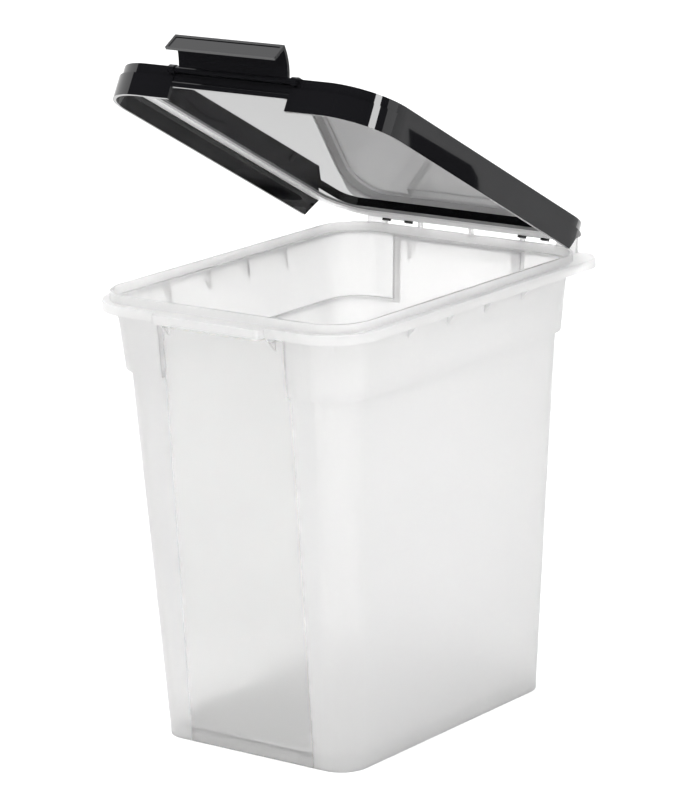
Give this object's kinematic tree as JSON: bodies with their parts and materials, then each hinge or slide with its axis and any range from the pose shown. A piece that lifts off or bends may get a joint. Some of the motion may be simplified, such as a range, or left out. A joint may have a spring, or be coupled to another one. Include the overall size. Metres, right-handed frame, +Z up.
{
  "type": "pet food storage container",
  "caption": "Tall tapered translucent storage bin with a hinged black lid, a seal ring and a flip-up front latch, shown with its lid part open.",
  "frame": {"origin": "centre of the base, at table level", "axes": "+Z up, -Y towards the latch at the front, +Y towards the hinge, +X to the right seen from the front"},
  "size_m": [0.2134, 0.283, 0.4519],
  "materials": {
    "bin": "frosted translucent polypropylene, with a clearer strip down the front and back panels",
    "lid": "polished black plastic",
    "gasket": "light grey soft seal, smooth",
    "latch": "polished black plastic"
  },
  "bodies": {
    "bin": {"bin": "bin"},
    "lid": {"lid": "lid", "gasket": "gasket"},
    "latch": {"latch": "latch"}
  },
  "joints": [
    {"name": "lid_hinge", "type": "hinge", "parent": "bin", "child": "lid", "pos_m": [0, 0.137, 0.298], "axis": [-1, 0, 0], "range_deg": [-29, 81]},
    {"name": "latch_hinge", "type": "hinge", "parent": "lid", "child": "latch", "pos_m": [0, -0.10439, 0.42975], "axis": [-1, 0, 0], "range_deg": [-122, 38]}
  ]
}
